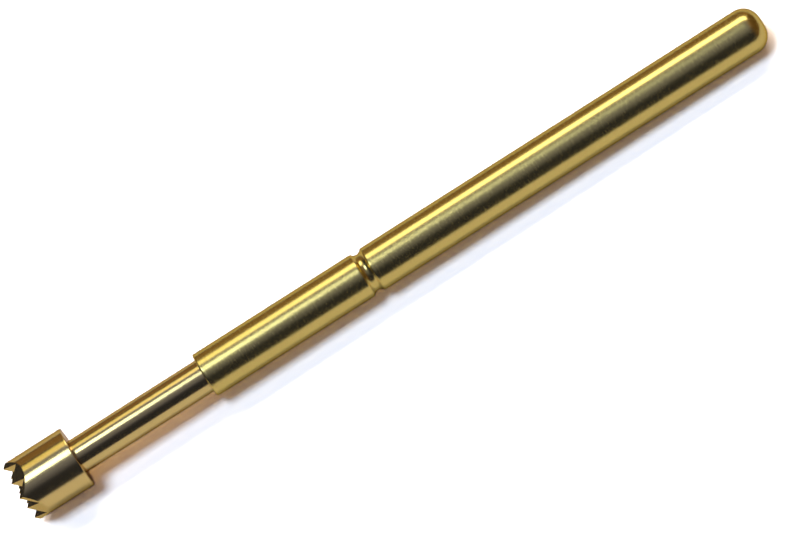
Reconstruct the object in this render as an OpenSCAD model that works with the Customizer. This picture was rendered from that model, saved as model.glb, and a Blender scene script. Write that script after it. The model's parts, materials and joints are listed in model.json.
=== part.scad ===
// Spring-loaded contact pin: a turned plunger with a serrated head slides in a drawn
// barrel against a compression spring. The pin lies along X. The origin is the centre
// of the barrel's mouth, the head points to +X and the closed tail to -X.
// All sizes are in millimetres.

/* [Barrel] */
// Outside diameter of the barrel
barrel_d = 1.36; // [1.3:0.01:1.7]
// Length of the barrel from its mouth to its tail
barrel_len = 18.45; // [16:0.05:24]
// Thickness of the drawn wall
barrel_wall = 0.14; // [0.1:0.01:0.17]
// Outside radius of the tail's round corner
tail_corner = 0.52; // [0.4:0.01:0.6]
// Rounding of the mouth's outer edge
mouth_edge = 0.05; // [0.01:0.005:0.08]

/* [Rolled groove] */
// Distance from the mouth to the middle of the groove
groove_back = 5.39; // [5.1:0.01:7]
// Depth of the groove in the outside of the barrel
groove_depth = 0.093; // [0.08:0.001:0.1]
// Width of the groove where it meets the outside of the barrel
groove_width = 0.38; // [0.36:0.01:0.44]
// Radius of the groove's shallow round floor, seen from the side
groove_floor_r = 0.18; // [0.12:0.01:0.2]

/* [Head] */
// Diameter of the serrated head
head_d = 1.86; // [1.5:0.01:2.1]
// Length of the head, teeth included
head_len = 1.94; // [1.4:0.01:2.5]
// Edge break on the head's rear edge
head_edge = 0.03; // [0.01:0.005:0.08]
// Teeth across the head in each direction
teeth_across = 3; // [2:1:4]
// How far inside the rim the tips of the corner teeth stand
tip_inset = 0.12; // [0.04:0.01:0.2]
// Angle between the two flanks of a tooth
tooth_angle = 70; // [60:1:80]
// How far the teeth are turned about the pin, as the free plunger comes to lie
head_turn = 6; // [-45:1:45]

/* [Plunger] */
// How far the plunger can be pushed in
travel = 4.0; // [3:0.05:4.2]
// What is left between head and mouth at full travel
stop_gap = 0.21; // [0.1:0.01:0.6]
// What is left between the waist's front shoulder and the ridge at full travel
shoulder_gap = 0.1; // [0.05:0.01:0.3]
// Length of the slope from the bearing down to the waist
shoulder_len = 0.1; // [0.05:0.01:0.2]
// Length of the collar behind the waist
collar_len = 1.2; // [0.8:0.05:2]
// Edge break on both ends of the collar
collar_edge = 0.05; // [0.02:0.01:0.07]

/* [Clearances] */
// Between stem and bore, on the radius
stem_clear = 0.03; // [0.02:0.005:0.05]
// Between collar and bore, on the radius
collar_clear = 0.04; // [0.02:0.005:0.05]
// Between waist and ridge, on the radius
waist_clear = 0.04; // [0.02:0.005:0.08]
// Between collar and ridge, along the pin
collar_gap = 0.03; // [0.02:0.005:0.06]
// Between spring and bore, on the radius
spring_clear = 0.05; // [0.03:0.005:0.08]
// Between each end of the spring and its seat
seat_gap = 0.015; // [0.01:0.005:0.03]

/* [Spring] */
// Diameter of the spring's wire
wire_d = 0.16; // [0.12:0.01:0.18]
// Turns that work as the spring
active_turns = 30; // [24:1:32]
// Turns that lie closed at each end
closed_turns = 2; // [1:1:2]
// Gap between two closed turns
closed_gap = 0.01; // [0.005:0.005:0.02]

/* [Hidden] */

$fn = 48;
arc_fn = 32;
// How far a cutting shape runs past what it cuts
over = 0.5;

// Barrel, from the outside in
barrel_r = barrel_d / 2;
bore_r = barrel_r - barrel_wall;
tail_x = -barrel_len;
bore_end_x = tail_x + barrel_wall;
bore_corner = tail_corner - barrel_wall;
groove_x = -groove_back;
groove_edge_r = edge_radius(groove_width, groove_depth, groove_floor_r);
ridge_r = bore_r - groove_depth;
ridge_crest_r = groove_floor_r + barrel_wall;
ridge_reach = 2 * groove_depth * (ridge_crest_r + groove_edge_r) - groove_depth * groove_depth;
ridge_width = 2 * sqrt(ridge_reach);

// Plunger, from the head back
head_r = head_d / 2;
head_rear_x = travel + stop_gap;
tip_x = head_rear_x + head_len;
stem_r = bore_r - stem_clear;
waist_r = ridge_r - waist_clear;
shoulder_x = groove_x + ridge_width / 2 + shoulder_gap + travel;
collar_r = bore_r - collar_clear;
collar_x = groove_x - ridge_width / 2 - collar_gap;
plunger_end_x = collar_x - collar_len;

// Teeth: a square grid, with V cuts between the rows and a slope outside the outer rows
tooth_slope = tan(tooth_angle / 2);
outer_row = (head_r - tip_inset) / sqrt(2);
tooth_pitch = 2 * outer_row / (teeth_across - 1);
rim_cut = head_r + over;

// Spring, between the collar and the round corner of the bore's end
wire_r = wire_d / 2;
coil_r = bore_r - spring_clear - wire_r;
seat_reach = bore_corner - wire_r - seat_gap;
seat_aside = max(coil_r - (bore_r - bore_corner), 0);
spring_rear_x = bore_end_x + bore_corner - sqrt(seat_reach * seat_reach - seat_aside * seat_aside);
spring_front_x = plunger_end_x - seat_gap - wire_r;
closed_pitch = wire_d + closed_gap;
active_len = spring_front_x - spring_rear_x - 2 * closed_turns * closed_pitch;
active_pitch = active_len / active_turns;
all_turns = active_turns + 2 * closed_turns;
steps_per_turn = 12;
wire_sides = 8;

// Turns a shape that stands along Z so that it lies along X.
module along_x() {
    rotate([0, 90, 0]) children();
}

// Radius of the round edge that runs on from a groove's round floor without a corner.
function edge_radius(width, depth, floor_r) =
    (width * width / 4 + depth * depth) / (2 * depth) - floor_r;

// Section of a rolled groove, open at y = depth: a hollow arc for the floor, and on
// each side a round arc that carries on from it out to the surface.
module groove_section(width, depth, floor_r) {
    edge_r = edge_radius(width, depth, floor_r);
    meet = width / 2 * floor_r / (floor_r + edge_r);
    intersection() {
        translate([-meet, -over]) square([2 * meet, over + depth]);
        union() {
            translate([0, floor_r]) circle(r = floor_r, $fn = 2 * arc_fn);
            translate([-meet, floor_r]) square([2 * meet, depth]);
        }
    }
    for (side = [0, 1]) mirror([side, 0]) difference() {
        translate([meet, 0]) square([width / 2 - meet, depth]);
        translate([width / 2, depth - edge_r]) circle(r = edge_r, $fn = 2 * arc_fn);
        translate([meet, -edge_r]) square([width / 2 - meet, depth]);
    }
}

// Half section of a round bar with a round corner at its rear end.
module round_tail_section(radius, corner, rear, front) {
    translate([0, rear + corner]) square([radius, front - rear - corner]);
    translate([0, rear]) square([radius - corner, corner]);
    intersection() {
        translate([radius - corner, rear + corner]) circle(r = corner, $fn = 2 * arc_fn);
        translate([radius - corner, rear]) square(corner);
    }
}

// Half section of what the mouth's round outer edge leaves away.
module mouth_edge_section() {
    difference() {
        translate([barrel_r - mouth_edge, -mouth_edge]) square(2 * mouth_edge);
        translate([barrel_r - mouth_edge, -mouth_edge]) circle(r = mouth_edge, $fn = arc_fn);
    }
}

// Drawn tube with a closed round tail. The groove rolled into it stands up inside as
// a ridge, which keeps the plunger in.
module barrel() {
    color("gold") along_x() rotate_extrude() {
        difference() {
            round_tail_section(barrel_r, tail_corner, tail_x, 0);
            round_tail_section(bore_r, bore_corner, bore_end_x, over);
            translate([barrel_r - groove_depth, groove_x]) rotate(-90)
                groove_section(groove_width, groove_depth, groove_floor_r);
            mouth_edge_section();
        }
        translate([ridge_r, groove_x]) rotate(-90)
            groove_section(ridge_width, groove_depth, ridge_crest_r);
    }
}

// Half section of the turned plunger: head, stem, waist and collar.
module plunger_section() {
    polygon([
        [0, plunger_end_x],
        [collar_r - collar_edge, plunger_end_x],
        [collar_r, plunger_end_x + collar_edge],
        [collar_r, collar_x - collar_edge],
        [collar_r - collar_edge, collar_x],
        [waist_r, collar_x],
        [waist_r, shoulder_x - shoulder_len],
        [stem_r, shoulder_x],
        [stem_r, head_rear_x],
        [head_r - head_edge, head_rear_x],
        [head_r, head_rear_x + head_edge],
        [head_r, tip_x],
        [0, tip_x]
    ]);
}

// One straight V cut across the head, at a distance from the axis and as deep as stated.
module tooth_cut(place, depth) {
    half_width = (depth + over) * tooth_slope;
    translate([tip_x, 0, place]) rotate([90, 0, 0]) linear_extrude(2 * head_d, center = true)
        polygon([[-depth, 0], [over, -half_width], [over, half_width]]);
}

// All cuts of one direction: those between the rows, and those that slope the rim away.
module tooth_cuts() {
    for (i = [1 : teeth_across - 1])
        tooth_cut((i - teeth_across / 2) * tooth_pitch, tooth_pitch / 2 / tooth_slope);
    for (side = [-1, 1])
        tooth_cut(side * rim_cut, (rim_cut - outer_row) / tooth_slope);
}

// Turned in one piece, with the teeth cut into the head in two directions.
module plunger() {
    color("goldenrod") difference() {
        along_x() rotate_extrude() plunger_section();
        rotate([head_turn, 0, 0]) {
            tooth_cuts();
            rotate([90, 0, 0]) tooth_cuts();
        }
    }
}

// How far along X the wire has come after a number of turns, counted from the rear.
function wire_x(turns) =
    turns < closed_turns ? turns * closed_pitch
    : turns > closed_turns + active_turns
        ? closed_turns * closed_pitch + active_len
            + (turns - closed_turns - active_turns) * closed_pitch
    : closed_turns * closed_pitch + (turns - closed_turns) * active_pitch;

// One point on the wire's skin: at a number of turns, and at an angle round the wire.
function wire_point(turns, angle) =
    let (r = coil_r + wire_r * cos(angle))
    [
        spring_rear_x + wire_x(turns) + wire_r * sin(angle),
        r * cos(360 * turns),
        r * sin(360 * turns)
    ];

// Compression spring with closed ends, as one closed skin swept along the coil.
module spring() {
    rings = all_turns * steps_per_turn;
    points = [
        for (i = [0 : rings], k = [0 : wire_sides - 1])
            wire_point(i / steps_per_turn, 360 * k / wire_sides)
    ];
    side_faces = [
        for (i = [0 : rings - 1], k = [0 : wire_sides - 1])
            let (next = (k + 1) % wire_sides, a = i * wire_sides, b = a + wire_sides)
            [a + k, b + k, b + next, a + next]
    ];
    rear_cap = [for (k = [0 : wire_sides - 1]) k];
    front_cap = [for (k = [wire_sides - 1 : -1 : 0]) rings * wire_sides + k];
    color("silver") polyhedron(points, concat(side_faces, [rear_cap], [front_cap]));
}

barrel();
plunger();
spring();
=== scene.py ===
"""Looks for a spring-loaded contact pin: barrel, serrated plunger and inner spring.

Sizes are kept in metres in the settings. Meshes are drawn in millimetres, where their
numbers are easy to read, and are brought to metres when they are stored.
"""

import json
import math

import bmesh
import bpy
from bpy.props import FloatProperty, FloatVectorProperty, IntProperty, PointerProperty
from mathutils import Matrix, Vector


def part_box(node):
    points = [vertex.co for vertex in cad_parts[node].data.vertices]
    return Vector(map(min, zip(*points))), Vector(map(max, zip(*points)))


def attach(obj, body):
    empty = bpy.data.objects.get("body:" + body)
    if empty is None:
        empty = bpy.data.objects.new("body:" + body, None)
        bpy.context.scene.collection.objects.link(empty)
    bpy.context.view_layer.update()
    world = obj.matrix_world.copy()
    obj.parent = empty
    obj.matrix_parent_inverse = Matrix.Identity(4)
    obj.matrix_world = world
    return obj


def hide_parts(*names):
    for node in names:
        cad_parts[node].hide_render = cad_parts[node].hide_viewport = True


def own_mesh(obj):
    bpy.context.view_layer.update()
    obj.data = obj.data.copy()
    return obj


bl_info = {
    "name": "Spring Contact Pin",
    "version": (1, 0, 0),
    "blender": (4, 5, 0),
    "location": "View3D > Sidebar > Contact Pin",
    "description": "Builds a gold-plated spring contact with a serrated head on its CAD frame",
    "category": "Object",
}

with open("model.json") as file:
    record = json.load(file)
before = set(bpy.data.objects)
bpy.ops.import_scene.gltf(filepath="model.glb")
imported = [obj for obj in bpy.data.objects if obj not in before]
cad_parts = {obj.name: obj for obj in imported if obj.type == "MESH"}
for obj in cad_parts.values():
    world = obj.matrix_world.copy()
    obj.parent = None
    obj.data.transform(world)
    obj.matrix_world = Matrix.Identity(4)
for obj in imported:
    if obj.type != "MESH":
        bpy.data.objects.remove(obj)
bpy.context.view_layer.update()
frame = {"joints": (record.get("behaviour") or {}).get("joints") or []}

MM = 0.001
BARREL_LOW, BARREL_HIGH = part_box("barrel")
PLUNGER_LOW, PLUNGER_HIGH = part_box("plunger")
SPRING_LOW, SPRING_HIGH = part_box("spring")
SLIDE = next(joint for joint in frame["joints"] if joint["name"] == "plunger_slide")
TRAVEL = max(SLIDE["range_m"])
# Sides of every turned shape
SEGMENTS = 192
# How far the tooth cuts run past the head, in millimetres
CUT_OVER = 0.4
# Along a turned run: first point from each end, and longest step, in millimetres
SUPPORT_NEAR = 0.012
SUPPORT_STEP = 0.5
# Tint of every metal where it is seen edge on
EDGE_TINT = (0.6, 0.45, 0.3)
# Faces that meet at more than this are shaded with a crisp edge
CRISP_ANGLE = math.radians(32)
# Two points of an outline closer than this are one, in millimetres
COINCIDE = 1e-6
# Height of a finish's marks, the part of their noise that changes the gloss, and the
# smoothest gloss
MARK_HEIGHT = 0.002 * MM
MARK_RANGE = (0.3, 0.7)
SMOOTHEST = 0.02
# Patches of slightly darker metal to a metre
PATCHES = 900.0
# Where the warm room past the tail begins and is full, as a direction's share along X
ROOM_STARTS, ROOM_FULL = -0.25, -0.8
# Each lamp: name, setting of its level, tint, angles over the pin in degrees, start and
# end along X in metres, and what it lights
LAMPS = (
    ("Window", "window_level", (1.0, 0.98, 0.85), (116, 139), (-0.6, 0.01), "metal"),
    ("Amber end", "amber_level", (1.0, 0.9, 0.26), (117, 137), (0.01, 0.25), "metal"),
    ("Skylight", "sky_level", (1.0, 0.95, 0.88), (115, 127), (-0.5, 0.5), "floor"),
    ("Brown wall", "brown_level", (1.0, 0.58, 0.12), (144, 176), (-0.8, 0.8), "all"),
    ("Strip", "strip_level", (0.65, 0.8, 1.0), (81, 100), (0.06, 0.3), "all"),
)


# ---------------------------------------------------------------- settings


def length(name, description, default, low=0.0, high=1.0):
    """A size in metres, shown with the scene's unit."""
    return FloatProperty(
        name=name, description=description, default=default, min=low, max=high,
        precision=6, subtype="DISTANCE", unit="LENGTH",
    )


def angle(name, description, degrees):
    """An angle, given in degrees."""
    return FloatProperty(
        name=name, description=description, default=math.radians(degrees),
        subtype="ANGLE", unit="ROTATION",
    )


def share(name, description, default, low=0.0, high=1.0):
    """A plain number between two limits."""
    return FloatProperty(name=name, description=description, default=default, min=low, max=high)


def colour(name, description, default):
    """A colour of three channels."""
    return FloatVectorProperty(
        name=name, description=description, default=default, size=3, subtype="COLOR",
        min=0.0, max=1.0,
    )


class PinBarrelSettings(bpy.types.PropertyGroup):
    """Sizes of the drawn tube. Its place and outside come from the frame."""

    wall: length("Wall", "Thickness of the drawn wall", 0.14 * MM)
    tail_corner: length("Tail corner", "Outside radius of the tail's round corner", 0.52 * MM)
    mouth_edge: length("Mouth edge", "Rounding of the mouth's outer edge", 0.05 * MM)
    lip_edge: length("Lip edge", "Rounding of the mouth's inner edge", 0.015 * MM)
    groove_back: length("Groove place", "From the mouth to the middle of the groove", 5.39 * MM)
    groove_depth: length("Groove depth", "Depth of the rolled groove", 0.093 * MM)
    groove_width: length("Groove width", "Width of the groove at the surface", 0.38 * MM)
    groove_floor: length("Groove floor radius", "Radius of the shallow round floor", 0.18 * MM)


class PinPlungerSettings(bpy.types.PropertyGroup):
    """Sizes of the turned plunger."""

    head_length: length("Head length", "Length of the head with its teeth", 1.94 * MM)
    head_edge: length("Head edge", "Rounding of the head's rear edge", 0.03 * MM)
    stem_clear: length("Stem clearance", "Gap between stem and bore", 0.03 * MM)
    collar_clear: length("Collar clearance", "Gap between collar and bore", 0.04 * MM)
    waist_clear: length("Waist clearance", "Gap between waist and ridge", 0.04 * MM)
    collar_length: length("Collar length", "Length of the collar behind the waist", 1.2 * MM)
    collar_edge: length("Collar edge", "Edge break on the collar", 0.05 * MM)
    collar_gap: length("Collar gap", "Gap between collar and ridge", 0.03 * MM)
    shoulder_gap: length("Shoulder gap", "Left before the ridge at full travel", 0.1 * MM)
    shoulder_length: length("Shoulder length", "Slope down to the waist", 0.1 * MM)
    teeth_across: IntProperty(
        name="Teeth across", description="Teeth in each direction", default=3, min=2, max=6
    )
    tip_inset: length("Tip inset", "How far inside the rim the corner tips stand", 0.12 * MM)
    tooth_angle: angle("Tooth angle", "Angle between the flanks of a tooth", 70)
    head_turn: angle("Head turn", "How far the teeth are turned about the pin", 6)


class PinSpringSettings(bpy.types.PropertyGroup):
    """Sizes of the compression spring. Its place and outside come from the frame."""

    wire: length("Wire", "Diameter of the wire", 0.16 * MM)
    active_turns: IntProperty(
        name="Active turns", description="Turns that work", default=30, min=4, max=60
    )
    closed_turns: IntProperty(
        name="Closed turns", description="Turns closed at each end", default=2, min=1, max=4
    )
    closed_gap: length("Closed gap", "Gap between two closed turns", 0.01 * MM)
    steps: IntProperty(
        name="Steps", description="Points along one turn", default=40, min=12, max=96
    )
    sides: IntProperty(
        name="Sides", description="Points round the wire", default=14, min=6, max=32
    )


class PinFinishSettings(bpy.types.PropertyGroup):
    """Colours and gloss of the three finishes."""

    barrel_gold: colour("Barrel gold", "Plating of the tube", (0.78, 0.59, 0.175))
    plunger_gold: colour("Plunger gold", "Plating of the plunger", (0.78, 0.57, 0.21))
    spring_steel: colour("Spring steel", "Bright drawn wire", (0.72, 0.70, 0.66))
    barrel_rough: share("Barrel roughness", "Satin of the drawn tube", 0.23)
    plunger_rough: share("Plunger roughness", "Polish of the turned plunger", 0.17)
    spring_rough: share("Spring roughness", "Polish of the wire", 0.25)


class PinStageSettings(bpy.types.PropertyGroup):
    """Camera, floor and lamps."""

    camera_height: angle("Camera height", "Angle of the view above the floor", 60)
    camera_slope: angle("Picture slope", "Slope of the pin in the picture", 32.42)
    camera_distance: length("Camera distance", "From the pin to the camera", 0.15)
    view_width: length("View width", "Width of the picture at the pin", 22.02 * MM)
    aim_along: length("Aim along", "Picture centre along X", -6.05 * MM, -1.0, 1.0)
    aim_below: length("Aim below", "Picture centre below the axis", 0.344 * MM, -1.0, 1.0)
    # Floor colours inside and outside a painted pool of light round the pin
    floor_in_painted_pool: colour("Floor near", "Pale floor round the pin", (0.94, 0.87, 0.80))
    floor_past_painted_pool: colour("Floor far", "Floor away from the pin", (0.57, 0.53, 0.5))
    floor_lift: share("Floor lift", "How much more of it the camera sees", 3.2, 0.0, 8.0)
    mirror_lift: share("Mirror lift", "How much more of it the metal shows", 0.55, 0.0, 8.0)
    # Where the painted pool of light starts to fade, and where it has faded
    painted_pool_fade_start: length("Pool start", "Where the floor starts to darken", 16 * MM)
    painted_pool_fade_end: length("Pool end", "Where the floor is darkest", 60 * MM)
    floor_size: length("Floor size", "Radius of the floor", 1.2, 0.1, 10.0)
    lamp_distance: length("Lamp distance", "From the pin to every lamp", 0.8, 0.3, 5.0)
    window_level: share("Window level", "Brightness of the far soft box", 3.0, 0.0, 50.0)
    amber_level: share("Amber level", "Brightness of the far box's amber end", 0.78, 0.0, 50.0)
    brown_level: share("Brown level", "Brightness of the wall behind the pin", 0.21, 0.0, 50.0)
    sky_level: share("Sky level", "Brightness of the soft box for the floor", 4.0, 0.0, 50.0)
    strip_level: share("Strip level", "Brightness of the overhead strip", 9.0, 0.0, 50.0)
    air_level: share("Air level", "Light from all around", 0.055)
    air_colour: colour("Air colour", "Tint of the light from all around", (0.46, 0.52, 1.0))
    end_colour: colour("End colour", "Tint of the room past the tail", (1.0, 0.6, 0.25))
    end_level: share("End level", "Light from past the tail", 0.07)
    zenith_start: share("Zenith start", "Height at which the air starts to brighten", 0.6)
    zenith_level: share("Zenith level", "Light from straight above", 0.36)
    backdrop_level: share("Backdrop level", "Brightness at the horizon", 0.5)
    backdrop_low: share("Backdrop foot", "Height at which the backdrop starts to fade", 0.0)
    backdrop_high: share("Backdrop top", "Height at which it has faded", 0.03)


# ---------------------------------------------------------------- mesh tools


def store(name, mesh_or_bm, body, slot, *nodes):
    """Brings a mesh drawn in millimetres to metres, gives it its body and hides its CAD nodes.
    The slot is not used.
    """
    if isinstance(mesh_or_bm, bmesh.types.BMesh):
        mesh = bpy.data.meshes.new(name)
        mesh_or_bm.to_mesh(mesh)
        mesh_or_bm.free()
    else:
        mesh = mesh_or_bm
    mesh.transform(Matrix.Scale(MM, 4))
    mesh.name = name
    piece = bpy.data.objects.new(name, mesh)
    bpy.context.scene.collection.objects.link(piece)
    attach(piece, body)
    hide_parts(*nodes)
    return piece


def shade(mesh):
    """Smooth shading, with sharp edges kept crisp."""
    mesh.shade_smooth()
    mesh.set_sharp_from_angle(angle=CRISP_ANGLE)


def arc(centre, radius, start, end, steps):
    """Points (x, r) on an arc, from one angle to another, both ends included."""
    angles = [start + (end - start) * i / steps for i in range(steps + 1)]
    return [
        (centre[0] + radius * math.cos(a), centre[1] + radius * math.sin(a)) for a in angles
    ]


def joined(*runs):
    """One list of points without neighbours that coincide."""
    points = []
    for point in (p for run in runs for p in run):
        if not points or math.dist(point, points[-1]) > COINCIDE:
            points.append(point)
    return points


def supported(profile):
    """The same outline with points close to the ends of each long run and evenly along it,
    so that smooth shading stays straight up to its edges."""
    points = profile[:1]
    for a, b in zip(profile, profile[1:]):
        run = math.dist(a, b)
        if run > 4 * SUPPORT_NEAR:
            count = math.ceil(run / SUPPORT_STEP)
            inner = (run - 2 * SUPPORT_NEAR) / run
            shares = [0.5 + inner * (i / count - 0.5) for i in range(count + 1)]
            points += [(a[0] + (b[0] - a[0]) * t, a[1] + (b[1] - a[1]) * t) for t in shares]
        points.append(b)
    return points


def turned(profile, segments):
    """A closed solid turned about X from points (x, r) that start and end on the axis."""
    bm = bmesh.new()
    rings = []
    for x, r in supported(profile):
        if r < COINCIDE:
            rings.append([bm.verts.new((x, 0.0, 0.0))])
            continue
        angles = [2 * math.pi * k / segments for k in range(segments)]
        rings.append([bm.verts.new((x, r * math.cos(a), r * math.sin(a))) for a in angles])
    for a, b in zip(rings, rings[1:]):
        for k in range(segments):
            n = (k + 1) % segments
            corners = [a[k % len(a)], a[n % len(a)], b[n % len(b)], b[k % len(b)]]
            face = list(dict.fromkeys(corners))
            if len(face) > 2:
                bm.faces.new(face)
    bmesh.ops.recalc_face_normals(bm, faces=bm.faces)
    return bm


# ---------------------------------------------------------------- node tools


def add_node(tree, kind, inputs=None, **settings):
    """A node with its settings and plain input values; inputs may be sockets to link."""
    node = tree.nodes.new(kind)
    for key, value in settings.items():
        setattr(node, key, value)
    for key, value in (inputs or {}).items():
        if isinstance(value, bpy.types.NodeSocket):
            tree.links.new(value, node.inputs[key])
        else:
            node.inputs[key].default_value = value
    return node


def maths(tree, operation, *values):
    """A Math node's result."""
    return add_node(
        tree, "ShaderNodeMath", dict(enumerate(values)), operation=operation
    ).outputs[0]


def vector(tree, x, y, z):
    """A vector made of three values or sockets."""
    return add_node(tree, "ShaderNodeCombineXYZ", {"X": x, "Y": y, "Z": z}).outputs[0]


def mixed_colour(tree, factor, first, second):
    """A colour between two."""
    blend = add_node(tree, "ShaderNodeMix", {"Factor": factor}, data_type="RGBA")
    ends = [socket for socket in blend.inputs if socket.type == "RGBA"]
    ends[0].default_value = (*first, 1.0)
    ends[1].default_value = (*second, 1.0)
    return next(socket for socket in blend.outputs if socket.type == "RGBA")


def new_group(name, kind, inputs, outputs):
    """A node group with named sockets, and its input and output nodes."""
    tree = bpy.data.node_groups.new(name, kind)
    for label, socket in inputs:
        tree.interface.new_socket(label, in_out="INPUT", socket_type=socket)
    for label, socket in outputs:
        tree.interface.new_socket(label, in_out="OUTPUT", socket_type=socket)
    return tree, tree.nodes.new("NodeGroupInput"), tree.nodes.new("NodeGroupOutput")


def joined_geometry(tree, *parts):
    """Several geometries as one."""
    join = add_node(tree, "GeometryNodeJoinGeometry")
    for part in parts:
        tree.links.new(part, join.inputs["Geometry"])
    return join.outputs["Geometry"]


def finish_group(tree, geometry, material, leave):
    """Ends a tree: real geometry that carries its material."""
    real = add_node(tree, "GeometryNodeRealizeInstances", {"Geometry": geometry}).outputs[0]
    done = add_node(
        tree, "GeometryNodeSetMaterial", {"Geometry": real, "Material": material}
    ).outputs[0]
    tree.links.new(done, leave.inputs["Geometry"])


def run_nodes(obj, tree, values):
    """The plain mesh that a Geometry Nodes tree makes on an object, which is removed."""
    modifier = obj.modifiers.new(tree.name, "NODES")
    modifier.node_group = tree
    sockets = {
        item.name: item.identifier for item in tree.interface.items_tree
        if item.item_type == "SOCKET" and item.in_out == "INPUT"
    }
    for label, value in values.items():
        modifier[sockets[label]] = value
    bpy.context.view_layer.update()
    depsgraph = bpy.context.evaluated_depsgraph_get()
    mesh = bpy.data.meshes.new_from_object(obj.evaluated_get(depsgraph))
    obj.modifiers.remove(modifier)
    bpy.data.objects.remove(obj)
    return mesh


# ---------------------------------------------------------------- finishes


def grain_group():
    """Fine marks of a tool. Stretch is how many marks there are to a metre along X, Y and Z."""
    name = "Tool grain"
    if name in bpy.data.node_groups:
        return bpy.data.node_groups[name]
    tree, entry, leave = new_group(
        name, "ShaderNodeTree",
        [
            ("Stretch", "NodeSocketVector"),
            ("Patch Scale", "NodeSocketFloat"),
        ],
        [("Marks", "NodeSocketFloat"), ("Patches", "NodeSocketFloat")],
    )
    place = add_node(tree, "ShaderNodeTexCoord").outputs["Object"]
    stretched = add_node(
        tree, "ShaderNodeVectorMath", {0: place, 1: entry.outputs["Stretch"]},
        operation="MULTIPLY",
    ).outputs[0]
    marks = add_node(
        tree, "ShaderNodeTexNoise",
        {"Vector": stretched, "Scale": 1.0, "Detail": 4.0, "Roughness": 0.65},
    ).outputs["Fac"]
    patches = add_node(
        tree, "ShaderNodeTexNoise",
        {"Vector": place, "Scale": entry.outputs["Patch Scale"], "Detail": 3.0},
    ).outputs["Fac"]
    tree.links.new(marks, leave.inputs["Marks"])
    tree.links.new(patches, leave.inputs["Patches"])
    return tree


def metal(name, base, tint, rough, rough_spread, stretch, bump):
    """Plated or bright metal with tool marks in its gloss and relief. Base changes to tint
    in patches, and the marks move the roughness by the spread to either side."""
    material = bpy.data.materials.new(name)
    material.use_nodes = True
    tree = material.node_tree
    tree.nodes.clear()
    grain = tree.nodes.new("ShaderNodeGroup")
    grain.node_tree = grain_group()
    grain.inputs["Stretch"].default_value = stretch
    grain.inputs["Patch Scale"].default_value = PATCHES
    marks, patches = grain.outputs["Marks"], grain.outputs["Patches"]
    mixed = mixed_colour(tree, patches, base, tint)
    gloss = add_node(
        tree, "ShaderNodeMapRange",
        {
            "Value": marks, "From Min": MARK_RANGE[0], "From Max": MARK_RANGE[1],
            "To Min": max(rough - rough_spread, SMOOTHEST), "To Max": rough + rough_spread,
        },
    ).outputs[0]
    relief = add_node(
        tree, "ShaderNodeBump", {"Height": marks, "Strength": bump, "Distance": MARK_HEIGHT},
    ).outputs["Normal"]
    surface = add_node(
        tree, "ShaderNodeBsdfPrincipled",
        {
            "Base Color": mixed, "Metallic": 1.0, "Roughness": gloss, "Normal": relief,
            "Specular Tint": (*EDGE_TINT, 1.0),
        },
    )
    output = tree.nodes.new("ShaderNodeOutputMaterial")
    tree.links.new(surface.outputs[0], output.inputs["Surface"])
    return material


def darker(base, factor):
    """The same colour, less bright."""
    return tuple(channel * factor for channel in base)


def barrel_finish(s):
    """Satin gold plating on the drawn tube, rubbed round the tube."""
    return metal(
        "Barrel gold plating", s.barrel_gold, darker(s.barrel_gold, 0.9), s.barrel_rough,
        rough_spread=0.06, stretch=(5e4, 6e3, 6e3), bump=0.2,
    )


def plunger_finish(s):
    """Polished gold plating on the turned plunger, with turning marks."""
    return metal(
        "Plunger gold plating", s.plunger_gold, darker(s.plunger_gold, 0.92), s.plunger_rough,
        rough_spread=0.03, stretch=(4e4, 2e3, 2e3), bump=0.2,
    )


def spring_finish(s):
    """Bright drawn spring wire."""
    return metal(
        "Spring wire", s.spring_steel, darker(s.spring_steel, 0.85), s.spring_rough,
        rough_spread=0.05, stretch=(3e4, 3e4, 3e4), bump=0.1,
    )


# ---------------------------------------------------------------- shapes


def groove_arcs(width, depth, floor_radius):
    """Edge radius of a rolled groove, and the angle at which floor and edge arcs meet."""
    edge_radius = (width * width / 4 + depth * depth) / (2 * depth) - floor_radius
    return edge_radius, math.asin(width / 2 / (floor_radius + edge_radius))


def barrel_profile(s):
    """Outline of the tube's wall: outside from tail to mouth, then back along the bore."""
    radius = BARREL_HIGH.z / MM
    tail = BARREL_LOW.x / MM
    mouth = BARREL_HIGH.x / MM
    wall, corner, edge, lip = (v / MM for v in (s.wall, s.tail_corner, s.mouth_edge, s.lip_edge))
    middle = mouth - s.groove_back / MM
    depth, width, floor_r = (v / MM for v in (s.groove_depth, s.groove_width, s.groove_floor))
    edge_r, meet = groove_arcs(width, depth, floor_r)
    bore = radius - wall
    ridge_crest = floor_r + wall
    ridge_half = math.sqrt(2 * depth * (ridge_crest + edge_r) - depth * depth)
    ridge_meet = math.asin(ridge_half / (ridge_crest + edge_r))
    up, flat = math.pi / 2, math.pi
    return joined(
        [(tail, 0.0)],
        arc((tail + corner, radius - corner), corner, flat, up, steps=20),
        arc((middle - width / 2, radius - edge_r), edge_r, up, up - meet, steps=8),
        arc((middle, radius - depth + floor_r), floor_r, -up - meet, -up + meet, steps=16),
        arc((middle + width / 2, radius - edge_r), edge_r, up + meet, up, steps=8),
        arc((mouth - edge, radius - edge), edge, up, 0.0, steps=8),
        arc((mouth - lip, bore + lip), lip, 0.0, -up, steps=4),
        arc((middle + ridge_half, bore - edge_r), edge_r, up, up + ridge_meet, steps=6),
        arc(
            (middle, bore - depth + ridge_crest), ridge_crest,
            -up + ridge_meet, -up - ridge_meet, steps=12,
        ),
        arc((middle - ridge_half, bore - edge_r), edge_r, up - ridge_meet, up, steps=6),
        arc((tail + corner, bore - (corner - wall)), corner - wall, up, flat, steps=16),
        [(tail + wall, 0.0)],
    )


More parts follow.
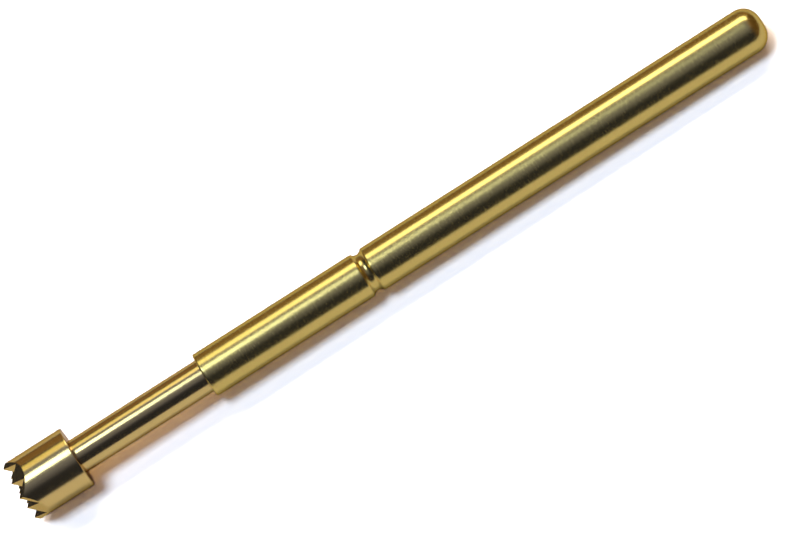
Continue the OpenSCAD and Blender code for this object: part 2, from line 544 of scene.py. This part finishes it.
def plunger_profile(s, barrel):
    """Outline of the turned blank, from the collar's rear face to the plane of the tips."""
    bore = (BARREL_HIGH.z - barrel.wall) / MM
    mouth = BARREL_HIGH.x / MM
    depth = barrel.groove_depth / MM
    floor_r = barrel.groove_floor / MM
    edge_r, _ = groove_arcs(barrel.groove_width / MM, depth, floor_r)
    crest = floor_r + barrel.wall / MM
    ridge_half = math.sqrt(2 * depth * (crest + edge_r) - depth * depth)
    middle = mouth - barrel.groove_back / MM
    collar_front = middle - ridge_half - s.collar_gap / MM
    collar_rear = collar_front - s.collar_length / MM
    shoulder = middle + ridge_half + (s.shoulder_gap + TRAVEL) / MM
    stem = bore - s.stem_clear / MM
    collar = bore - s.collar_clear / MM
    waist = bore - depth - s.waist_clear / MM
    head = PLUNGER_HIGH.z / MM
    tips = PLUNGER_HIGH.x / MM
    head_rear = tips - s.head_length / MM
    chamfer, edge = s.collar_edge / MM, s.head_edge / MM
    up, flat = math.pi / 2, math.pi
    return joined(
        [(collar_rear, 0.0), (collar_rear, collar - chamfer)],
        [(collar_rear + chamfer, collar), (collar_front - chamfer, collar)],
        [(collar_front, collar - chamfer), (collar_front, waist)],
        [(shoulder - s.shoulder_length / MM, waist), (shoulder, stem)],
        [(head_rear, stem)],
        arc((head_rear + edge, head - edge), edge, flat, up, steps=6),
        [(tips, head), (tips, 0.0)],
    )


def tooth_cut_group():
    """Geometry Nodes: straight V cuts in two directions, which leave a grid of teeth."""
    tree, entry, leave = new_group(
        "Serrated head", "GeometryNodeTree",
        [
            ("Geometry", "NodeSocketGeometry"),
            ("Tips", "NodeSocketFloat"),
            ("Slope", "NodeSocketFloat"),
            ("Outer Row", "NodeSocketFloat"),
            ("Pitch", "NodeSocketFloat"),
            ("Gaps", "NodeSocketInt"),
            ("Rim", "NodeSocketFloat"),
            ("Over", "NodeSocketFloat"),
            ("Turn", "NodeSocketFloat"),
            ("Material", "NodeSocketMaterial"),
        ],
        [("Geometry", "NodeSocketGeometry")],
    )
    given = entry.outputs
    # A cylinder with three sides has its apex at 1 and its base at -1/2, sqrt(3) wide.
    prism = add_node(
        tree, "GeometryNodeMeshCylinder", {"Vertices": 3, "Radius": 1.0, "Depth": 1.0},
        fill_type="NGON",
    ).outputs["Mesh"]

    def cut_row(depth, first, step, count):
        """Cuts of one depth, side by side along Y."""
        height = maths(tree, "ADD", depth, given["Over"])
        tall = maths(tree, "DIVIDE", height, 1.5)
        wide = maths(tree, "MULTIPLY", maths(tree, "MULTIPLY", height, given["Slope"]), 2)
        apex = maths(tree, "SUBTRACT", given["Tips"], depth)
        cut = add_node(
            tree, "GeometryNodeTransform",
            {
                "Geometry": prism,
                "Translation": vector(tree, maths(tree, "ADD", apex, tall), 0.0, 0.0),
                "Rotation": (0.0, 0.0, math.pi),
                "Scale": vector(
                    tree, tall, maths(tree, "DIVIDE", wide, math.sqrt(3)),
                    maths(tree, "MULTIPLY", given["Rim"], 3.0),
                ),
            },
        ).outputs["Geometry"]
        line = add_node(
            tree, "GeometryNodeMeshLine",
            {
                "Count": count, "Start Location": vector(tree, 0.0, first, 0.0),
                "Offset": vector(tree, 0.0, step, 0.0),
            },
            mode="OFFSET",
        ).outputs["Mesh"]
        return add_node(
            tree, "GeometryNodeInstanceOnPoints", {"Points": line, "Instance": cut}
        ).outputs["Instances"]

    half_pitch = maths(tree, "MULTIPLY", given["Pitch"], 0.5)
    beyond = maths(tree, "ADD", given["Rim"], given["Over"])
    between = cut_row(
        maths(tree, "DIVIDE", half_pitch, given["Slope"]),
        maths(tree, "MULTIPLY", maths(tree, "SUBTRACT", 1.0, given["Gaps"]), half_pitch),
        given["Pitch"], given["Gaps"],
    )
    outside = cut_row(
        maths(
            tree, "DIVIDE", maths(tree, "SUBTRACT", beyond, given["Outer Row"]),
            given["Slope"],
        ),
        maths(tree, "MULTIPLY", beyond, -1.0), maths(tree, "MULTIPLY", beyond, 2.0), 2,
    )
    one_way = joined_geometry(tree, between, outside)
    other_way = add_node(
        tree, "GeometryNodeTransform",
        {"Geometry": one_way, "Rotation": (math.pi / 2, 0.0, 0.0)},
    ).outputs["Geometry"]
    turned_cuts = add_node(
        tree, "GeometryNodeTransform",
        {
            "Geometry": joined_geometry(tree, one_way, other_way),
            "Rotation": vector(tree, given["Turn"], 0.0, 0.0),
        },
    ).outputs["Geometry"]
    real_cuts = add_node(
        tree, "GeometryNodeRealizeInstances", {"Geometry": turned_cuts}
    ).outputs["Geometry"]
    toothed = add_node(
        tree, "GeometryNodeMeshBoolean",
        {"Mesh 1": given["Geometry"], "Mesh 2": real_cuts, "Self Intersection": True},
        operation="DIFFERENCE", solver="EXACT",
    ).outputs["Mesh"]
    finish_group(tree, toothed, given["Material"], leave)
    return tree


def coil_group():
    """Geometry Nodes: wire swept along a coil whose turns lie closed at both ends."""
    tree, entry, leave = new_group(
        "Closed-end coil", "GeometryNodeTree",
        [
            ("Geometry", "NodeSocketGeometry"),
            ("Rear", "NodeSocketFloat"),
            ("Front", "NodeSocketFloat"),
            ("Coil Radius", "NodeSocketFloat"),
            ("Wire Radius", "NodeSocketFloat"),
            ("Active Turns", "NodeSocketInt"),
            ("Closed Turns", "NodeSocketInt"),
            ("Closed Pitch", "NodeSocketFloat"),
            ("Steps", "NodeSocketInt"),
            ("Sides", "NodeSocketInt"),
            ("Material", "NodeSocketMaterial"),
        ],
        [("Geometry", "NodeSocketGeometry")],
    )
    given = entry.outputs
    closed, active = given["Closed Turns"], given["Active Turns"]
    closed_pitch = given["Closed Pitch"]
    both_closed = maths(tree, "MULTIPLY", closed, 2.0)
    all_turns = maths(tree, "ADD", active, both_closed)
    count = maths(tree, "ADD", maths(tree, "MULTIPLY", all_turns, given["Steps"]), 1.0)
    whole = maths(tree, "SUBTRACT", given["Front"], given["Rear"])
    working = maths(
        tree, "SUBTRACT", whole, maths(tree, "MULTIPLY", both_closed, closed_pitch)
    )
    active_pitch = maths(tree, "DIVIDE", working, active)

    index = add_node(tree, "GeometryNodeInputIndex").outputs["Index"]
    turn = maths(tree, "DIVIDE", index, given["Steps"])
    after_rear = maths(tree, "MAXIMUM", maths(tree, "SUBTRACT", turn, closed), 0.0)
    worked = maths(tree, "MINIMUM", after_rear, active)
    at_rest = maths(tree, "SUBTRACT", turn, worked)
    along = maths(
        tree, "ADD", maths(tree, "MULTIPLY", worked, active_pitch),
        maths(tree, "MULTIPLY", at_rest, closed_pitch),
    )
    angle = maths(tree, "MULTIPLY", turn, 2 * math.pi)
    place = vector(
        tree,
        maths(tree, "ADD", given["Rear"], along),
        maths(tree, "MULTIPLY", given["Coil Radius"], maths(tree, "COSINE", angle)),
        maths(tree, "MULTIPLY", given["Coil Radius"], maths(tree, "SINE", angle)),
    )
    start = add_node(tree, "GeometryNodeCurvePrimitiveLine").outputs["Curve"]
    spaced = add_node(
        tree, "GeometryNodeResampleCurve", {"Curve": start, "Count": count}
    ).outputs["Curve"]
    path = add_node(
        tree, "GeometryNodeSetPosition", {"Geometry": spaced, "Position": place}
    ).outputs["Geometry"]
    section = add_node(
        tree, "GeometryNodeCurvePrimitiveCircle",
        {"Resolution": given["Sides"], "Radius": given["Wire Radius"]},
    ).outputs["Curve"]
    wire = add_node(
        tree, "GeometryNodeCurveToMesh",
        {"Curve": path, "Profile Curve": section, "Fill Caps": True},
    ).outputs["Mesh"]
    finish_group(tree, wire, given["Material"], leave)
    return tree


# ---------------------------------------------------------------- pieces


class PIN_OT_barrel(bpy.types.Operator):
    """Build the drawn tube with its closed tail and its rolled groove"""

    bl_idname = "pin.build_barrel"
    bl_label = "Build Barrel"

    def execute(self, context):
        s = context.scene.pin_barrel
        bm = turned(barrel_profile(s), SEGMENTS)
        piece = store("Barrel", bm, "barrel", "barrel_gold", "barrel")
        shade(piece.data)
        piece.data.materials.append(barrel_finish(context.scene.pin_finish))
        return {"FINISHED"}


class PIN_OT_plunger(bpy.types.Operator):
    """Build the turned plunger and cut the teeth into its head"""

    bl_idname = "pin.build_plunger"
    bl_label = "Build Plunger"

    def execute(self, context):
        s = context.scene.pin_plunger
        finish = plunger_finish(context.scene.pin_finish)
        blank_mesh = bpy.data.meshes.new("Plunger blank")
        bm = turned(plunger_profile(s, context.scene.pin_barrel), SEGMENTS)
        bm.to_mesh(blank_mesh)
        bm.free()
        blank = bpy.data.objects.new("Plunger blank", blank_mesh)
        context.scene.collection.objects.link(blank)

        rim = PLUNGER_HIGH.z / MM
        outer_row = (rim - s.tip_inset / MM) / math.sqrt(2)
        mesh = run_nodes(
            blank, tooth_cut_group(),
            {
                "Tips": PLUNGER_HIGH.x / MM,
                "Slope": math.tan(s.tooth_angle / 2),
                "Outer Row": outer_row,
                "Pitch": 2 * outer_row / (s.teeth_across - 1),
                "Gaps": s.teeth_across - 1,
                "Rim": rim,
                "Over": CUT_OVER,
                "Turn": s.head_turn,
                "Material": finish,
            },
        )
        piece = store("Plunger", mesh, "plunger", "plunger_gold", "plunger")
        shade(piece.data)
        return {"FINISHED"}


class PIN_OT_spring(bpy.types.Operator):
    """Build the compression spring inside the barrel"""

    bl_idname = "pin.build_spring"
    bl_label = "Build Spring"

    def execute(self, context):
        s = context.scene.pin_spring
        start = bpy.data.objects.new("Spring start", bpy.data.meshes.new("Spring start"))
        context.scene.collection.objects.link(start)
        wire_radius = s.wire / 2 / MM
        mesh = run_nodes(
            start, coil_group(),
            {
                "Rear": SPRING_LOW.x / MM + wire_radius,
                "Front": SPRING_HIGH.x / MM - wire_radius,
                "Coil Radius": SPRING_HIGH.z / MM - wire_radius,
                "Wire Radius": wire_radius,
                "Active Turns": s.active_turns,
                "Closed Turns": s.closed_turns,
                "Closed Pitch": (s.wire + s.closed_gap) / MM,
                "Steps": s.steps,
                "Sides": s.sides,
                "Material": spring_finish(context.scene.pin_finish),
            },
        )
        piece = store("Spring", mesh, "barrel", "spring_steel", "spring")
        shade(piece.data)
        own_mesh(piece)
        return {"FINISHED"}


# ---------------------------------------------------------------- stage


def floor_finish(s):
    """Matt floor with a painted pool of light round the pin, which the camera and the metal see
    brighter.
    """
    material = bpy.data.materials.new("Studio floor")
    material.use_nodes = True
    tree = material.node_tree
    tree.nodes.clear()
    place = add_node(tree, "ShaderNodeTexCoord").outputs["Object"]
    distance = add_node(
        tree, "ShaderNodeVectorMath", {0: place}, operation="LENGTH"
    ).outputs["Value"]
    # A painted pool of light: the floor's colour darkens away from the pin
    away = add_node(
        tree, "ShaderNodeMapRange",
        {"Value": distance, "From Min": s.painted_pool_fade_start, "From Max": s.painted_pool_fade_end},
        interpolation_type="SMOOTHSTEP",
    ).outputs[0]
    pale = mixed_colour(tree, away, s.floor_in_painted_pool, s.floor_past_painted_pool)
    plain = add_node(tree, "ShaderNodeBsdfDiffuse", {"Color": pale}).outputs[0]
    path = add_node(tree, "ShaderNodeLightPath").outputs
    mirrored = maths(tree, "MAXIMUM", path["Is Glossy Ray"], path["Is Transmission Ray"])
    seen = maths(
        tree, "MAXIMUM", maths(tree, "MULTIPLY", path["Is Camera Ray"], s.floor_lift),
        maths(tree, "MULTIPLY", mirrored, s.mirror_lift),
    )
    direct = maths(tree, "LESS_THAN", path["Diffuse Depth"], 0.5)
    lifted = add_node(
        tree, "ShaderNodeVectorMath", {0: pale, "Scale": maths(tree, "MULTIPLY", seen, direct)},
        operation="SCALE",
    ).outputs[0]
    more = add_node(tree, "ShaderNodeBsdfDiffuse", {"Color": lifted}).outputs[0]
    both = tree.nodes.new("ShaderNodeAddShader")
    tree.links.new(plain, both.inputs[0])
    tree.links.new(more, both.inputs[1])
    output = tree.nodes.new("ShaderNodeOutputMaterial")
    tree.links.new(both.outputs[0], output.inputs["Surface"])
    return material


def lay_floor(s, plunger, barrel):
    """Floor on which the pin rests, touching the head's rear edge and the tail."""
    head_x = PLUNGER_HIGH.x - plunger.head_length + plunger.head_edge
    head_z = PLUNGER_LOW.z
    tail_x = BARREL_LOW.x + barrel.tail_corner
    tail_z = BARREL_LOW.z
    slope = math.atan2(head_z - tail_z, head_x - tail_x)
    bm = bmesh.new()
    bmesh.ops.create_circle(bm, cap_ends=True, segments=96, radius=s.floor_size)
    bm.transform(
        Matrix.Translation((head_x, 0.0, head_z)) @ Matrix.Rotation(-slope, 4, "Y")
    )
    mesh = bpy.data.meshes.new("Floor")
    bm.to_mesh(mesh)
    bm.free()
    mesh.materials.append(floor_finish(s))
    floor = bpy.data.objects.new("Floor", mesh)
    bpy.context.scene.collection.objects.link(floor)


def light_world(s):
    """Dim studio air: pale at the horizon, warm past the pin's tail, and brighter
    straight above, where only the metal shows it."""
    world = bpy.data.worlds.new("Studio")
    bpy.context.scene.world = world
    world.use_nodes = True
    tree = world.node_tree
    tree.nodes.clear()
    direction = add_node(tree, "ShaderNodeTexCoord").outputs["Generated"]
    facing = add_node(tree, "ShaderNodeSeparateXYZ", {"Vector": direction}).outputs
    height = facing["Z"]
    backdrop = add_node(
        tree, "ShaderNodeMapRange",
        {
            "Value": height, "From Min": s.backdrop_low, "From Max": s.backdrop_high,
            "To Min": s.backdrop_level, "To Max": s.air_level,
        },
        interpolation_type="SMOOTHSTEP",
    ).outputs[0]
    zenith = add_node(
        tree, "ShaderNodeMapRange",
        {
            "Value": height, "From Min": s.zenith_start, "From Max": 1.0,
            "To Min": 0.0, "To Max": s.zenith_level,
        },
        interpolation_type="SMOOTHSTEP",
    ).outputs[0]
    glossy = add_node(tree, "ShaderNodeLightPath").outputs["Is Glossy Ray"]
    above = maths(tree, "ADD", backdrop, maths(tree, "MULTIPLY", zenith, glossy))
    past_tail = add_node(
        tree, "ShaderNodeMapRange",
        {"Value": facing["X"], "From Min": ROOM_STARTS, "From Max": ROOM_FULL},
        interpolation_type="SMOOTHSTEP",
    ).outputs[0]
    air = add_node(
        tree, "ShaderNodeBackground",
        {
            "Color": mixed_colour(tree, past_tail, s.air_colour, s.end_colour),
            "Strength": maths(
                tree, "ADD", above, maths(tree, "MULTIPLY", past_tail, s.end_level)
            ),
        },
    )
    output = tree.nodes.new("ShaderNodeOutputWorld")
    tree.links.new(air.outputs[0], output.inputs["Surface"])


def hang_lamp(name, level, tint, angles, reach, away, lights):
    """Soft box over the pin. Angles go over the pin from the camera's side, so that 90 is
    overhead and 180 on the far side; reach is where it starts and ends along X. It lights
    all, only the metal as a card that it mirrors, or only the floor."""
    low, high = (math.radians(a) for a in angles)
    middle = (low + high) / 2
    lamp = bpy.data.lights.new(name, "AREA")
    lamp.shape = "RECTANGLE"
    lamp.size = reach[1] - reach[0]
    lamp.size_y = 2 * away * math.tan((high - low) / 2)
    lamp.color = tint
    lamp.energy = level * math.pi * lamp.size * lamp.size_y
    box = bpy.data.objects.new(name, lamp)
    box.location = (
        (reach[0] + reach[1]) / 2, away * math.cos(middle), away * math.sin(middle)
    )
    box.rotation_euler = (middle - math.pi / 2, 0.0, 0.0)
    box.visible_camera = False
    box.visible_diffuse = lights != "metal"
    box.visible_glossy = lights != "floor"
    bpy.context.scene.collection.objects.link(box)


def aim_camera(s):
    """Long lens across the pin, turned so that the pin lies slanted in the picture."""
    across = Vector((0.0, math.sin(s.camera_height), -math.cos(s.camera_height)))
    back = Vector((0.0, math.cos(s.camera_height), math.sin(s.camera_height)))
    along = Vector((1.0, 0.0, 0.0))
    slope = s.camera_slope
    right = -math.cos(slope) * along + math.sin(slope) * across
    up = -math.sin(slope) * along - math.cos(slope) * across
    aim = along * s.aim_along + across * s.aim_below
    lens = bpy.data.cameras.new("Camera")
    lens.sensor_width = 36.0
    lens.lens = lens.sensor_width * s.camera_distance / s.view_width
    lens.clip_start = 0.001
    lens.clip_end = 10.0
    camera = bpy.data.objects.new("Camera", lens)
    turn = Matrix((right, up, back)).transposed().to_4x4()
    camera.matrix_world = Matrix.Translation(aim + back * s.camera_distance) @ turn
    bpy.context.scene.collection.objects.link(camera)
    bpy.context.scene.camera = camera


class PIN_OT_stage(bpy.types.Operator):
    """Lay the floor, hang the lamps and aim the camera"""

    bl_idname = "pin.build_stage"
    bl_label = "Build Stage"

    def execute(self, context):
        scene = context.scene
        scene.view_settings.view_transform = "Standard"
        s = scene.pin_stage
        lay_floor(s, scene.pin_plunger, scene.pin_barrel)
        light_world(s)
        for name, level, tint, angles, reach, lights in LAMPS:
            hang_lamp(name, getattr(s, level), tint, angles, reach, s.lamp_distance, lights)
        aim_camera(s)
        return {"FINISHED"}


class PIN_PT_contact(bpy.types.Panel):
    """Settings and build steps of the spring contact pin"""

    bl_label = "Contact Pin"
    bl_idname = "PIN_PT_contact"
    bl_space_type = "VIEW_3D"
    bl_region_type = "UI"
    bl_category = "Contact Pin"

    def draw(self, context):
        scene = context.scene
        for label, settings, steps in STEPS:
            box = self.layout.box()
            box.label(text=label)
            group = getattr(scene, settings)
            for name in group.__annotations__:
                box.prop(group, name)
            for step in steps:
                box.operator(step.bl_idname)


GROUPS = {
    "pin_finish": PinFinishSettings,
    "pin_barrel": PinBarrelSettings,
    "pin_plunger": PinPlungerSettings,
    "pin_spring": PinSpringSettings,
    "pin_stage": PinStageSettings,
}
STEPS = (
    ("Finishes", "pin_finish", ()),
    ("Barrel", "pin_barrel", (PIN_OT_barrel,)),
    ("Plunger", "pin_plunger", (PIN_OT_plunger,)),
    ("Spring", "pin_spring", (PIN_OT_spring,)),
    ("Stage", "pin_stage", (PIN_OT_stage,)),
)
CLASSES = (
    *GROUPS.values(), PIN_OT_barrel, PIN_OT_plunger, PIN_OT_spring, PIN_OT_stage,
    PIN_PT_contact,
)


def register():
    """Adds the settings, the build steps and the panel."""
    for cls in CLASSES:
        bpy.utils.register_class(cls)
    for name, group in GROUPS.items():
        setattr(bpy.types.Scene, name, PointerProperty(type=group))


def unregister():
    """Takes them out again."""
    for name in GROUPS:
        delattr(bpy.types.Scene, name)
    for cls in reversed(CLASSES):
        bpy.utils.unregister_class(cls)


def main():
    """Builds every piece and the stage."""
    register()
    bpy.ops.pin.build_barrel()
    bpy.ops.pin.build_plunger()
    bpy.ops.pin.build_spring()
    bpy.ops.pin.build_stage()


if __name__ == "__main__":
    main()
